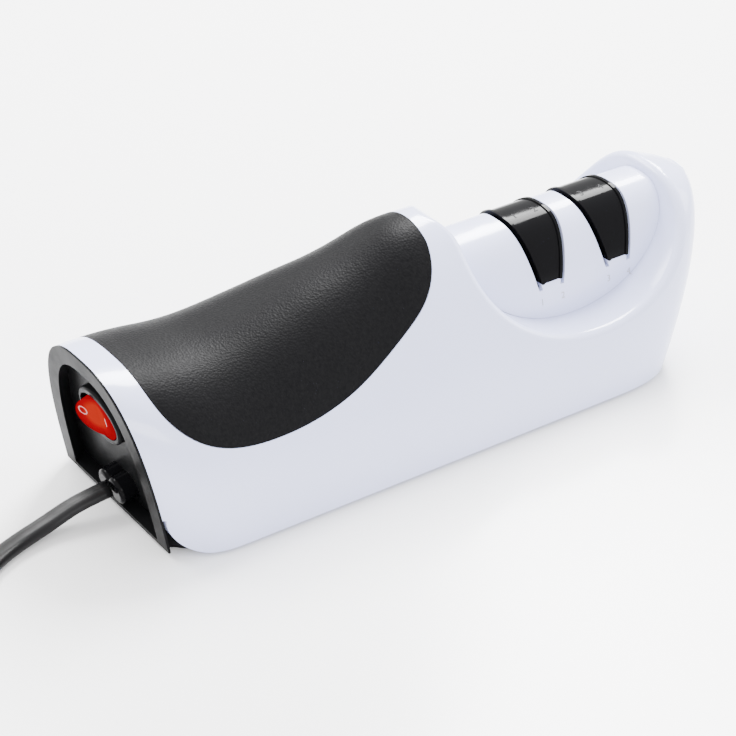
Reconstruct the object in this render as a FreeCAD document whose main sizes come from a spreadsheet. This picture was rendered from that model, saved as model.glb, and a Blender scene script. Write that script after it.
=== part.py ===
# Electric two-stage knife sharpener, as separate pieces.
# Millimetres, +Z up, +X from the switch end to the hood end, origin at the bottom centre.
import FreeCAD, Part
import Sketcher
import math
import os
import re

Vector = FreeCAD.Vector
doc = FreeCAD.newDocument("knife_sharpener")

# Driving dimensions
# Housing lengths are measured from the housing's own zero, where the handle ends;
# middle_place is how far that zero lies from the middle of the whole length.
SIZES = {
    "foot_height": 1.5,
    "middle_place": 19.7,
    "half_width": 45.0,
    "wall": 3.2,
    "fit_gap": 0.3,
    # Outline of the housing seen from the front
    "rim_place": -99.0,
    "rim_height": 63.1,
    "rim_half_width": 35.4,
    "rim_lean": -0.173,
    "rim_blend": 23.0,
    "neck_place": -85.0,
    "neck_height": 60.6,
    "saddle_place": -60.0,
    "saddle_height": 59.0,
    "back_place": -30.0,
    "back_height": 64.6,
    "shoulder_place": -5.0,
    "shoulder_height": 69.4,
    "hump_place": 15.0,
    "hump_height": 75.3,
    "crest_place": 75.0,
    "crest_height": 74.6,
    "hood_place": 105.0,
    "hood_height": 68.5,
    "end_place": 123.8,
    "end_height": 60.6,
    "end_lean": 0.424,
    "end_blend": 44.6,
    "end_power": 3.73,
    # Scoop round the sharpening module
    "scoop_place": 83.3,
    "scoop_level": 66.0,
    "scoop_half_length": 48.0,
    "scoop_depth": 39.0,
    "hump_round": 10.0,
    "hood_round": 5.0,
    "lip_round": 3.0,
    "corner_round": 14.5,
    # Grip pad
    "grip_start": -98.4,
    "grip_end": 22.2,
    "grip_low_place": -57.0,
    "grip_low": 32.8,
    "grip_thick": 1.8,
    "grip_seat_gap": 0.2,
    # Sharpening module
    "module_height": 62.2,
    "module_half_width": 24.0,
    "module_wall": 2.4,
    "coarse_place": 73.9,
    "fine_place": 105.2,
    "slot_wide": 1.7,
    "slot_lean": 0.23,
    "insert_half": 5.3,
    "insert_level": 45.0,
    "insert_foot": 42.0,
    "insert_thick": 3.0,
    "insert_proud": 0.4,
    "insert_rim_wide": 1.2,
    "insert_rim_proud": 0.9,
    "slot_foot": 39.5,
    # End panel, switch and cord exit
    "panel_place": -94.0,
    "panel_lean": -0.2,
    "panel_thick": 2.5,
    "panel_side": 3.0,
    "rim_cap": 0.9,
    "sill_top": 2.2,
    "switch_level": 39.0,
    "bezel_length": 27.0,
    "bezel_height": 21.0,
    "bezel_thick": 3.0,
    "rocker_length": 21.6,
    "rocker_height": 15.6,
    "rocker_swing": 12.0,
    "switch_depth": 17.0,
    "exit_level": 9.4,
    "relief_length": 17.0,
    "relief_height": 10.5,
    "relief_proud": 6.5,
    # Supply cord: a flat lead, drawn as a round tube of the same section area
    "cord_tube": 6.0,
    "cord_wide": 8.0,
    "coil_place": -240.0,
    "coil_across": 10.0,
    "coil_radius": 48.7,
    "coil_level": 4.5,
    "coil_pitch": 6.5,
    "coil_layer": 8.3,
    "coil_turns": 3.0,
    "tie_thick": 0.9,
    "tie_width": 9.0,
    "plug_wide": 24.0,
    "plug_long": 30.0,
    "plug_thick": 12.4,
    "blade_gap": 12.7,
    "blade_long": 17.0,
    "wire_radius": 1.1,
    # Drive line
    "axis_level": 28.0,
    "motor_start": -70.0,
    "motor_length": 50.0,
    "motor_radius": 18.0,
    "can_wall": 1.5,
    "magnet_thick": 4.0,
    "magnet_gap_width": 9.0,
    "cap_thick": 4.0,
    "cap_plug": 3.0,
    "rotor_lead": 12.0,
    "winding_end": 3.0,
    "commutator_radius": 5.0,
    "commutator_length": 6.0,
    "brush_width": 4.0,
    "brush_length": 8.0,
    "saddle_width": 26.0,
    "rotor_radius": 11.6,
    "rotor_length": 28.0,
    "motor_shaft_radius": 2.0,
    "fan_radius": 16.0,
    "fan_thick": 5.0,
    "coupling_start": -3.0,
    "coupling_length": 16.0,
    "coupling_radius": 7.0,
    "spindle_start": 6.0,
    "spindle_end": 121.0,
    "spindle_radius": 4.0,
    "wheel_radius": 16.0,
    "wheel_core_radius": 8.0,
    "wheel_half_core": 6.0,
    "wheel_half_tip": 2.6,
    "near_post": 52.0,
    "far_post": 114.6,
    "post_thick": 4.0,
    "post_width": 22.0,
    "frame_width": 30.0,
    "frame_thick": 3.0,
    "spacer_radius": 6.5,
    "bush_radius": 7.0,
    "board_start": -60.0,
    "board_across": 19.5,
    "board_rise": 5.0,
    "run_gap": 0.05,
    # Base
    "base_thick": 2.5,
    "base_wall": 2.0,
    "base_rise": 15.0,
    "base_lift": 0.4,
    "foot_radius": 6.5,
    "foot_seat": 1.2,
    "screw_radius": 1.6,
    "screw_head_radius": 3.0,
}

sheet = doc.addObject("Spreadsheet::Sheet", "sizes")
for row, (alias, value) in enumerate(SIZES.items(), start=1):
    sheet.set("A%d" % row, alias)
    sheet.set("B%d" % row, str(value))
    sheet.setAlias("B%d" % row, alias)
doc.recompute()


def size(alias):
    """Value of a named size in the sheet."""
    return float(sheet.get(alias))


parts = []


def finish(piece, label, housing=True):
    """Name a sub-part and stand it in the housing's place."""
    piece.Label = label
    if housing:
        piece.setExpression("Placement.Base.x", "-sizes.middle_place")
        piece.setExpression("Placement.Base.z", "sizes.foot_height")
    parts.append(piece)
    return piece


def feature(label, shape, housing=True):
    """Sub-part whose freeform shape comes from the functions below."""
    piece = doc.addObject("Part::Feature", label)
    piece.Shape = shape
    return finish(piece, label, housing)


# Freeform housing surfaces

def blend(place, table):
    """Smooth curve through (place, value) pairs."""
    spots = [spot for spot, value in table]
    values = [value for spot, value in table]
    last = len(table) - 1
    k = 0
    while k < last - 1 and place > spots[k + 1]:
        k += 1

    def slope(i):
        lower, upper = max(i - 1, 0), min(i + 1, last)
        return (values[upper] - values[lower]) / (spots[upper] - spots[lower])

    span = spots[k + 1] - spots[k]
    t = (place - spots[k]) / span
    t2, t3 = t * t, t * t * t
    return ((2 * t3 - 3 * t2 + 1) * values[k] + (t3 - 2 * t2 + t) * span * slope(k)
            + (3 * t2 - 2 * t3) * values[k + 1] + (t3 - t2) * span * slope(k + 1))


def ridge_height(place):
    """Height of the housing's top line over its base."""
    names = ["rim", "neck", "saddle", "back", "shoulder", "hump", "crest", "hood", "end"]
    return blend(place, [(size(name + "_place"), size(name + "_height")) for name in names])


def roundness(place):
    """Exponent of the arch: 2 is an ellipse and more is squarer."""
    return blend(place, [(size("rim_place"), 2.72), (10.0, 2.18), (80.0, 2.26),
                         (size("end_place"), 2.69)])


def taper(place):
    """Share of the width that the walls lose up to the top."""
    return blend(place, [(size("rim_place"), 0.0), (10.0, 0.25), (80.0, 0.27),
                         (size("end_place"), 0.0)])


def base_half_width(place):
    """Half width of the foot outline, drawn in at both ends."""
    widest = size("half_width")
    from_rim = (place - size("rim_place")) / size("rim_blend")
    if from_rim < 1:
        return widest - (widest - size("rim_half_width")) * (1 - max(from_rim, 0)) ** 2
    into_end = (place - size("end_place")) / size("end_blend") + 1
    if into_end > 0:
        power = size("end_power")
        return widest * (1 - min(into_end, 1) ** power) ** (1 / power)
    return widest


def lean(place):
    """Slope of the cross-sections, which tip outwards at both ends."""
    if place < 0:
        return size("rim_lean") * (place / size("rim_place")) ** 2
    return size("end_lean") * (place / size("end_place")) ** 2.02


ARCH_STEPS = 20
END_SHARE = 0.985


def arch_points(half, height, power, narrowing, steps=ARCH_STEPS):
    """Points (across, up) of an arch, from its front foot over the top to its back foot."""
    points = []
    for step in range(steps + 1):
        angle = math.pi * step / steps
        cosine, sine = math.cos(angle), max(math.sin(angle), 0.0)
        up = height * sine ** (2 / power)
        side = -math.copysign(abs(cosine) ** (2 / power), cosine) * half
        points.append((side * (1 - narrowing * up / height), up))
    return points


def arch_wire(place, shift, inset, foot):
    """One cross-section of the housing, inset from its outer skin, closed at the foot level."""
    slope = lean(place)
    points = [Vector(place + shift + slope * up, across, up)
              for across, up in arch_points(base_half_width(place) - inset,
                                            ridge_height(place) - inset,
                                            roundness(place), taper(place))]
    arch = Part.BSplineCurve()
    arch.interpolate(points)
    first, last = points[0], points[-1]
    if foot == 0:
        return Part.Wire([arch.toShape(), Part.makeLine(last, first)])
    low = Vector(slope * foot, 0, foot)
    return Part.Wire([arch.toShape(), Part.makeLine(last, last + low),
                      Part.makeLine(last + low, first + low), Part.makeLine(first + low, first)])


def housing_solid(inset=0.0, open_end=0.0, foot=0.0):
    """Solid inside the skin that lies inset from the outer one.

    open_end carries it past the rim at the switch end, and foot below the base.
    """
    rim, end = size("rim_place"), size("end_place")
    spots = [rim, rim + 5, rim + 11, rim + 19, rim + 29, -56.0, -42.0, -28.0, -14.0, 0.0,
             14.0, 28.0, 42.0, 56.0, 68.0]
    blend_start = end - size("end_blend")
    spots += [blend_start + size("end_blend") * math.sin(turn * math.pi / 18)
              for turn in range(0, 9)]
    tip = blend_start + size("end_blend") * END_SHARE
    spots = [spot for spot in spots if spot < tip - 0.4] + [tip]
    wires = []
    if open_end > 0:
        wires.append(arch_wire(rim, -open_end, inset, foot))
        wires.append(arch_wire(rim, -open_end / 2, inset, foot))
    for spot in spots:
        shift = -inset * max(0.0, (spot - blend_start) / (tip - blend_start))
        wires.append(arch_wire(spot, shift, min(inset, 0.6 * base_half_width(spot)), foot))
    return Part.makeLoft(wires, True, False)


def across_prism(wire, half=60.0):
    """Solid swept across the housing from a closed outline in the front view."""
    face = Part.Face(wire)
    face.translate(Vector(0, -half, 0))
    return face.extrude(Vector(0, 2 * half, 0))


def leaning_slab(place, slope, thick, low=-30.0, high=110.0, half=70.0):
    """Flat slab whose near face runs through place and leans by slope."""
    corners = [Vector(place + slope * low, 0, low), Vector(place + slope * high, 0, high),
               Vector(place + slope * high + thick, 0, high),
               Vector(place + slope * low + thick, 0, low)]
    return across_prism(Part.makePolygon(corners + corners[:1]), half)


def scoop_solid(grow=0.0):
    """Space scooped across the housing, grown by a wall for the skin that lines it."""
    centre, level = size("scoop_place"), size("scoop_level")
    length, depth = size("scoop_half_length") + grow, size("scoop_depth") + grow
    near_round, far_round = size("hump_round") - grow, size("hood_round")
    left, right, top = centre - length, centre + length, 100.0
    bowl = Part.Ellipse(Vector(right, 0, level), Vector(centre, 0, level + depth),
                        Vector(centre, 0, level))
    half_turn = math.pi * 0.25
    reach = 1 - math.cos(half_turn)
    crown = Vector(left - near_round, 0, level + near_round)
    hump = Part.Arc(crown, Vector(left - near_round * reach, 0,
                                  level + near_round * math.sin(half_turn)), Vector(left, 0, level))
    brow = Vector(right + far_round, 0, level + far_round)
    hood = Part.Arc(Vector(right, 0, level), Vector(right + far_round * reach, 0,
                                                    level + far_round * math.sin(half_turn)), brow)
    over = [brow, Vector(brow.x + 30, 0, brow.z), Vector(brow.x + 30, 0, top),
            Vector(crown.x, 0, top), crown]
    edges = [hump.toShape(), Part.ArcOfEllipse(bowl, math.pi, 2 * math.pi).toShape(), hood.toShape()]
    edges += [Part.makeLine(a, b) for a, b in zip(over, over[1:])]
    return across_prism(Part.Wire(edges))


def grip_outline(grow=0.0):
    """Leaf outline of the grip pad in the front view, up past the top."""
    start, end = size("grip_start") - grow, size("grip_end") + grow
    low_place, low = size("grip_low_place"), size("grip_low") - grow
    over = 100.0
    points = [Vector(start, 0, low + 28), Vector(start + 4.5, 0, low + 15.5),
              Vector(start + 19, 0, low + 4.4), Vector(low_place, 0, low),
              Vector(low_place + 33, 0, low + 4.6), Vector(end - 22.5, 0, low + 15.2),
              Vector(end - 5.6, 0, low + 27.6), Vector(end, 0, low + 39)]
    leaf = Part.BSplineCurve()
    leaf.interpolate(points)
    first, last = points[0], points[-1]
    corners = [last, Vector(end, 0, over), Vector(start, 0, over), first]
    edges = [leaf.toShape()] + [Part.makeLine(a, b) for a, b in zip(corners, corners[1:])]
    return Part.Wire(edges)


def module_solid(inset=0.0, start=20.0, end=140.0, level=0.0):
    """Arch of the sharpening module, inset from its outer face, with its base at the level."""
    points = [Vector(start, across, up + level)
              for across, up in arch_points(size("module_half_width") - inset,
                                            size("module_height") - inset, 2.7, 0.05)]
    arch = Part.BSplineCurve()
    arch.interpolate(points)
    wire = Part.Wire([arch.toShape(), Part.makeLine(points[-1], points[0])])
    return Part.Face(wire).extrude(Vector(end - start, 0, 0))


def slot_wedge(centre, grow, foot):
    """Space between two knife slots, which lean towards each other going down."""
    half, slope, level = size("insert_half") + grow, size("slot_lean"), size("insert_level")
    top = 80.0
    low_half, top_half = half + slope * (foot - level), half + slope * (top - level)
    corners = [Vector(centre - low_half, 0, foot), Vector(centre + low_half, 0, foot),
               Vector(centre + top_half, 0, top), Vector(centre - top_half, 0, top)]
    return across_prism(Part.makePolygon(corners + corners[:1]))


BOSSES = [(-66.0, 33.0), (-66.0, -33.0), (34.0, 33.0), (34.0, -33.0)]
FEET = [(-76.0, 27.0), (-76.0, -27.0), (98.0, 27.0), (98.0, -27.0)]
BOSS_RADIUS = 4.0


def post(place, across, radius, low, high):
    return Part.makeCylinder(radius, high - low, Vector(place, across, low))


def round_scoop_edge(solid):
    """Round the lip where the scoop leaves the housing, on both sides and over the hump."""
    lip = []
    for edge in solid.Edges:
        box = edge.BoundBox
        beyond_hump = box.XMin > size("hump_place") and box.ZMin > size("base_rise")
        if beyond_hump and box.XLength + box.ZLength > 0.3:
            lip.append(edge)
    return solid.makeFillet(size("lip_round"), lip)


def upper_shell():
    wall = size("wall")
    skin = round_scoop_edge(housing_solid().cut(scoop_solid()))
    hollow = housing_solid(wall, 14.0, -6.0).cut(scoop_solid(wall))
    window = Part.makeBox(77, 36, 60, Vector(45, -18, 20))
    shell = skin.cut(hollow).cut(window)
    base_top = size("base_lift") + size("base_thick")
    for place, across in BOSSES:
        boss = post(place, across, BOSS_RADIUS, base_top, 60.0).common(housing_solid(wall * 0.5))
        pilot = post(place, across, size("screw_radius"), 0.0, base_top + 12.0)
        shell = shell.fuse(boss).cut(pilot)
    gap = size("grip_seat_gap")
    seat = across_prism(grip_outline(gap)).common(
        housing_solid(-2.0, 1.0).cut(housing_solid(size("grip_thick") + gap, 8.0)))
    shell = shell.cut(seat)
    radius = size("corner_round")
    hub = Vector(size("rim_place") + radius - 1.5, 0, radius)
    corner = Part.makeBox(30, 120, radius + 10, Vector(hub.x - 30, -60, -10)).cut(
        Part.makeCylinder(radius, 120, Vector(hub.x, -60, hub.z), Vector(0, 1, 0)))
    return feature("upper_shell", shell.cut(corner))


def grip_pad():
    layer = housing_solid(-0.1).cut(housing_solid(size("grip_thick"), 8.0))
    return feature("grip_pad", across_prism(grip_outline()).common(layer))


def guide_cover():
    gap = 0.1
    space = scoop_solid(-gap)
    cover = module_solid().common(space).cut(module_solid(size("module_wall")))
    for name in ("coarse_place", "fine_place"):
        cover = cover.cut(slot_wedge(size(name), size("slot_wide"), size("insert_foot")))
        tips = slot_wedge(size(name), size("slot_wide"), size("slot_foot"))
        cover = cover.cut(tips.cut(slot_wedge(size(name), 0.0, size("slot_foot") - 1)))
    return feature("guide_cover", cover)


def insert(label, place_name):
    """Black guide between two slots, with its side walls running down beside the wheel."""
    inside = module_solid(size("insert_thick"))
    wedge = slot_wedge(size(place_name), 0.0, size("insert_foot"))
    middle = slot_wedge(size(place_name), -size("insert_rim_wide"), size("insert_foot") - 1)
    face = module_solid(-size("insert_proud")).cut(inside).common(wedge)
    rims = module_solid(-size("insert_rim_proud")).cut(inside).common(wedge).cut(middle)
    return feature(label, face.fuse(rims))


RIM_CAP_GAP = 0.02


def end_panel():
    """Dished black end with a sill at its foot and a thin cap over the housing's rim."""
    gap, lean_out = size("fit_gap"), size("panel_lean")
    wall, thick = size("wall"), size("panel_thick")
    place, cap = size("panel_place"), size("rim_cap")
    rim = size("rim_place")
    plug = housing_solid(wall + gap, cap, 0.0)
    body = plug.cut(leaning_slab(place + thick, lean_out, 400))
    outline = [arch_wire(rim, shift, 0.0, 0.0) for shift in (-cap, -RIM_CAP_GAP)]
    body = body.fuse(Part.makeLoft(outline, True, False))
    dish = housing_solid(wall + gap + size("panel_side"), 14.0, -6.0)
    dish = dish.cut(leaning_slab(place, lean_out, 400))
    body = body.cut(dish.cut(Part.makeBox(60, 120, size("sill_top") + 6, Vector(-130, -60, -6))))
    body = body.cut(Part.makeBox(60, 120, size("base_lift") + 0.1, Vector(-130, -60, -0.1)))
    hole = switch_frame(oval(size("bezel_length") - 2.4, size("bezel_height") - 2.4, -20, 40))
    outlet = relief_frame(relief_core(-20, 40))
    return feature("end_panel", body.cut(hole).cut(outlet))


def on_panel(shape, level):
    """Put a shape made about its own zero on the panel at a level, facing out along -X."""
    lean_out = size("panel_lean")
    place = FreeCAD.Placement(Vector(size("panel_place") + lean_out * level, 0, level),
                              FreeCAD.Rotation(Vector(0, 1, 0), math.degrees(math.atan(lean_out))))
    return shape.transformed(place.toMatrix(), True)


def switch_frame(shape):
    return on_panel(shape, size("switch_level"))


def relief_frame(shape):
    return on_panel(shape, size("exit_level"))


def oval(length, height, start, depth):
    """Elliptical disc lying along X, longer across than up."""
    ring = Part.Ellipse(Vector(0, 0, 0), length / 2, height / 2).toShape()
    face = Part.Face(Part.Wire([ring]))
    face.rotate(Vector(0, 0, 0), Vector(1, 0, 0), 90)
    face.rotate(Vector(0, 0, 0), Vector(0, 0, 1), 90)
    face.translate(Vector(start, 0, 0))
    return face.extrude(Vector(depth, 0, 0))


def relief_core(start, depth):
    """Waist of the strain relief where it passes the panel."""
    length, height = size("relief_length") - 2.4, size("relief_height") - 2.4
    block = Part.makeBox(depth, length - height, height,
                         Vector(start, -(length - height) / 2, -height / 2))
    for side in (-1, 1):
        block = block.fuse(Part.makeCylinder(height / 2, depth,
                                             Vector(start, side * (length - height) / 2, 0),
                                             Vector(1, 0, 0)))
    return block


ROCKER_PIVOT = 2.0
ROCKER_FACE = -3.0
ROCKER_ROOM = 8.4
PIN_RADIUS = 1.0


def switch_parts():
    length, height, thick = size("bezel_length"), size("bezel_height"), size("bezel_thick")
    depth = size("switch_depth")
    inner_length, inner_height = size("rocker_length") + 2.4, size("rocker_height") + 0.6
    bezel = oval(length, height, -thick, thick)
    bezel = bezel.makeFillet(1.0, [edge for edge in bezel.Edges
                                   if edge.CenterOfMass.x < -thick + 0.01])
    body = bezel.fuse(oval(length - 2.8, height - 2.8, 0, depth))
    body = body.cut(oval(inner_length, inner_height, -thick - 1, thick + 1 + ROCKER_ROOM))
    pin_reach = inner_height / 2 + 0.7
    pin_hole = Part.makeCylinder(PIN_RADIUS + size("run_gap"), 2 * pin_reach,
                                 Vector(ROCKER_PIVOT, 0, -pin_reach))
    body = body.cut(pin_hole)
    feature("switch_body", switch_frame(body))
    slope = math.tan(math.radians(size("rocker_swing")))
    half = size("rocker_length") / 2 - 0.8
    tip = ROCKER_FACE - slope * half
    back = ROCKER_PIVOT + 1.2
    corners = [Vector(ROCKER_FACE, 0, 0), Vector(tip, half, 0), Vector(ROCKER_PIVOT - 1, half, 0),
               Vector(back, 3.0, 0), Vector(back, -3.0, 0), Vector(ROCKER_PIVOT - 1, -half, 0),
               Vector(tip, -half, 0)]
    outline = Part.Face(Part.makePolygon(corners + corners[:1]))
    outline.translate(Vector(0, 0, -size("rocker_height") / 2))
    rocker = outline.extrude(Vector(0, 0, size("rocker_height")))
    rocker = rocker.common(oval(2 * half, size("rocker_height"), -12, 20))
    pin = Part.makeCylinder(PIN_RADIUS, 2 * pin_reach - 0.2,
                            Vector(ROCKER_PIVOT, 0, 0.1 - pin_reach))
    rocker = rocker.fuse(pin)
    rocker.rotate(Vector(ROCKER_PIVOT, 0, 0), Vector(0, 0, 1), size("rocker_swing"))
    feature("switch_rocker", switch_frame(rocker))
    lamp = Part.makeCylinder(1.6, 3.6, Vector(ROCKER_ROOM - 3.6, 0, 0), Vector(1, 0, 0))
    feature("switch_lamp", switch_frame(lamp))
    tabs = [Part.makeBox(8, 0.8, 6.3, Vector(depth, side * 6 - 0.4, -3.15)) for side in (-1, 0, 1)]
    feature("switch_terminals", switch_frame(Part.makeCompound(tabs)))


def strain_relief():
    length, height = size("relief_length"), size("relief_height")
    proud, panel = size("relief_proud"), size("panel_thick")
    spread = (length - height) / 2
    lobes = [Part.makeCylinder(height / 2, proud, Vector(-proud, side * spread, 0), Vector(1, 0, 0))
             for side in (-1, 1)]
    lobes = [lobe.makeFillet(1.6, [edge for edge in lobe.Edges
                                   if edge.CenterOfMass.x < -proud + 0.01]) for lobe in lobes]
    head = lobes[0].fuse(lobes[1])
    shape = head.fuse(relief_core(0, panel)).fuse(
        relief_core(panel, 5.0).fuse(Part.makeBox(3.0, length, height - 3,
                                                  Vector(panel + 0.0, -length / 2, -(height - 3) / 2))))
    return feature("strain_relief", relief_frame(shape))


def base_cover():
    lift, thick, rise = size("base_lift"), size("base_thick"), size("base_rise")
    inset = size("wall") + size("fit_gap")
    tray = housing_solid(inset, 14.0)
    tray = tray.common(Part.makeBox(400, 200, rise - lift, Vector(-200, -100, lift)))
    room = housing_solid(inset + size("base_wall"), 30.0)
    room = room.common(Part.makeBox(400, 200, rise, Vector(-200, -100, lift + thick)))
    tray = tray.cut(room)
    back = size("panel_place") + size("panel_thick") + 0.1
    tray = tray.common(leaning_slab(back, size("panel_lean"), 400))
    floor_top = lift + thick
    for place, across in BOSSES:
        tray = tray.cut(post(place, across, size("screw_radius") + 0.2, -1, floor_top + 1))
        tray = tray.cut(post(place, across, size("screw_head_radius") + 0.2, -1, lift + 1.6))
    for place, across in FEET:
        tray = tray.cut(post(place, across, size("foot_radius"), -2, size("foot_seat")))
    for row in range(6):
        place = size("motor_start") + 14 + 5 * row
        tray = tray.cut(Part.makeBox(2.2, 24, 6, Vector(place, -12, -1)))
    for across in (-16, 16):
        stand = post(size("motor_start") - 13, across, 2.5, floor_top, 8.0)
        tray = tray.fuse(stand)
    return feature("base_cover", tray)


def cell(text):
    """Expression text with each size's name pointed at the sheet."""
    return re.sub(r"[a-z_]{4,}", lambda word: "sizes." + word.group(0), text)


def place_at(piece, place="0", across="0", up="0", housing=True):
    """Bind a piece's place to the sheet, in the housing's coordinates."""
    shift, lift = ("-middle_place", "foot_height") if housing else ("0", "0")
    piece.setExpression("Placement.Base.x", cell("%s + (%s)" % (shift, place)))
    piece.setExpression("Placement.Base.y", cell(across))
    piece.setExpression("Placement.Base.z", cell("%s + (%s)" % (lift, up)))
    return piece


def named(piece, label):
    piece.Label = label
    parts.append(piece)
    return piece


def rod(name, radius, length, place, across="0", up="axis_level", along="X"):
    """Plain cylinder along X or Z."""
    piece = doc.addObject("Part::Cylinder", name)
    piece.setExpression("Radius", cell(radius))
    piece.setExpression("Height", cell(length))
    if along == "X":
        piece.Placement = FreeCAD.Placement(Vector(), FreeCAD.Rotation(Vector(0, 1, 0), 90))
    return place_at(piece, place, across, up)


def block(name, length, width, height, place, across, up):
    """Plain box from its lowest corner."""
    piece = doc.addObject("Part::Box", name)
    for side, value in (("Length", length), ("Width", width), ("Height", height)):
        piece.setExpression(side, cell(value))
    return place_at(piece, place, across, up)


def joined(kind, name, pieces):
    """Fuse or group several pieces."""
    piece = doc.addObject(kind, name)
    if kind == "Part::Compound":
        piece.Links = pieces
    else:
        piece.Shapes = pieces
    return piece


def cut(name, base, tool):
    piece = doc.addObject("Part::Cut", name)
    piece.Base, piece.Tool = base, tool
    return piece


def amount(text):
    """Value of a sum of size names, numbers and products of them."""
    total = 0.0
    for sign, term in re.findall(r"([+-]?)\s*([a-z_0-9.*/ ]+)", text):
        value = 1.0
        for operator, factor in re.findall(r"([*/]?)\s*([a-z_]+|[0-9.]+)", term):
            number = size(factor) if factor[0].isalpha() else float(factor)
            value = value / number if operator == "/" else value * number
        total += -value if sign == "-" else value
    return total


def turned(label, corners, place):
    """Piece turned about the drive axis from (along, radius) corners."""
    body = doc.addObject("PartDesign::Body", label)
    sketch = body.newObject("Sketcher::SketchObject", label + "_profile")
    plane = [f for f in body.Origin.OriginFeatures if f.Role == "XZ_Plane"][0]
    sketch.AttachmentSupport = [(plane, "")]
    sketch.MapMode = "FlatFace"
    values = [tuple(amount(text) for text in corner) for corner in corners]
    count = len(corners)
    for i in range(count):
        start, stop = values[i], values[(i + 1) % count]
        sketch.addGeometry(Part.LineSegment(Vector(start[0], start[1], 0),
                                            Vector(stop[0], stop[1], 0)), False)
    for i in range(count):
        sketch.addConstraint(Sketcher.Constraint("Coincident", i, 2, (i + 1) % count, 1))
    for i, (along, radius) in enumerate(corners):
        for kind, text in (("DistanceX", along), ("DistanceY", radius)):
            value = amount(text)
            number = sketch.addConstraint(Sketcher.Constraint(kind, -1, 1, i, 1, value))
            sketch.setExpression("Constraints[%d]" % number, cell(text))
    turn = body.newObject("PartDesign::Revolution", label + "_turn")
    turn.Profile = sketch
    turn.ReferenceAxis = (sketch, ["H_Axis"])
    turn.Angle = 360
    sketch.Visibility = False
    place_at(body, place, "0", "axis_level")
    return named(body, label)


# Drive line

def motor():
    """Brushed motor: can, magnets, end cap and brushes."""
    radius, inner = "motor_radius", "motor_radius - can_wall"
    turned("motor_can", [("0", inner), ("0", radius), ("motor_length", radius),
                         ("motor_length", "motor_shaft_radius + 1.5"),
                         ("motor_length - can_wall", "motor_shaft_radius + 1.5"),
                         ("motor_length - can_wall", inner)], "motor_start")
    turned("motor_end_cap", [("0 - cap_thick", "motor_shaft_radius + run_gap"),
                             ("0 - cap_thick", radius), ("0", radius), ("0", inner),
                             ("cap_plug", inner), ("cap_plug", "motor_radius - can_wall - 3"),
                             ("0", "motor_radius - can_wall - 3"),
                             ("0", "motor_shaft_radius + run_gap")], "motor_start")
    turned("motor_bearing", [("0 - can_wall - 1", "motor_shaft_radius + run_gap"),
                             ("0 - can_wall - 1", "motor_shaft_radius + 1.5"),
                             ("1", "motor_shaft_radius + 1.5"),
                             ("1", "motor_shaft_radius + run_gap")],
           "motor_start + motor_length")
    outside = rod("magnet_outside", inner, "rotor_length", "motor_start + rotor_lead")
    inside = rod("magnet_inside", "motor_radius - can_wall - magnet_thick", "rotor_length",
                 "motor_start + rotor_lead")
    ring = cut("magnet_ring", outside, inside)
    gap = block("magnet_gap", "rotor_length", "magnet_gap_width", "2 * motor_radius",
                "motor_start + rotor_lead", "0 - magnet_gap_width / 2", "axis_level - motor_radius")
    named(cut("magnets", ring, gap), "motor_magnets")
    brushes = []
    for side, start in (("front", "0 - commutator_radius - run_gap - brush_length"),
                        ("rear", "commutator_radius + run_gap")):
        brushes.append(block("brush_" + side, "brush_width", "brush_length", "brush_width",
                             "motor_start + cap_plug", start, "axis_level - brush_width / 2"))
    named(joined("Part::Compound", "brushes", brushes), "motor_brushes")


def rotor():
    """Everything of the motor that turns with its shaft."""
    rod_piece = rod("shaft", "motor_shaft_radius",
                    "motor_length + cap_thick + coupling_start + 8 - motor_start - motor_length - 0.5",
                    "motor_start - cap_thick + 0.5")
    named(rod_piece, "motor_shaft")
    stack = rod("stack", "rotor_radius", "rotor_length", "motor_start + rotor_lead")
    bore = rod("stack_bore", "motor_shaft_radius", "rotor_length", "motor_start + rotor_lead")
    slots = [around("rotor_slot_%d" % turn, "rotor_length", 2.4, 5.0,
                    size("motor_start") + size("rotor_lead"), size("rotor_radius") - 4.5,
                    360.0 * turn / 8) for turn in range(8)]
    named(cut("slotted", stack, joined("Part::Compound", "rotor_slots", slots + [bore])),
          "rotor_stack")
    ends = []
    for side, start in (("near", "motor_start + rotor_lead - winding_end"),
                        ("far", "motor_start + rotor_lead + rotor_length")):
        ring = rod("winding_%s" % side, "rotor_radius - 1", "winding_end", start)
        eye = rod("winding_eye_%s" % side, "motor_shaft_radius + 1", "winding_end", start)
        ends.append(cut("winding_ring_%s" % side, ring, eye))
    named(joined("Part::Compound", "windings", ends), "rotor_windings")
    turned("commutator", [("0", "motor_shaft_radius"), ("0", "commutator_radius"),
                          ("commutator_length", "commutator_radius"),
                          ("commutator_length", "motor_shaft_radius")],
           "motor_start + cap_plug - 0.5")


def around(name, length, width, depth, place, radius, angle):
    """Box that stands off the drive axis at an angle round it."""
    piece = doc.addObject("Part::Box", name)
    piece.setExpression("Length", cell(length))
    piece.Width, piece.Height = width, depth
    middle = Vector(place - size("middle_place"), 0, size("axis_level") + size("foot_height"))
    turn = FreeCAD.Placement(middle, FreeCAD.Rotation(Vector(1, 0, 0), angle))
    piece.Placement = turn.multiply(FreeCAD.Placement(Vector(0, -width / 2, radius),
                                                      FreeCAD.Rotation()))
    return piece


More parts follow.
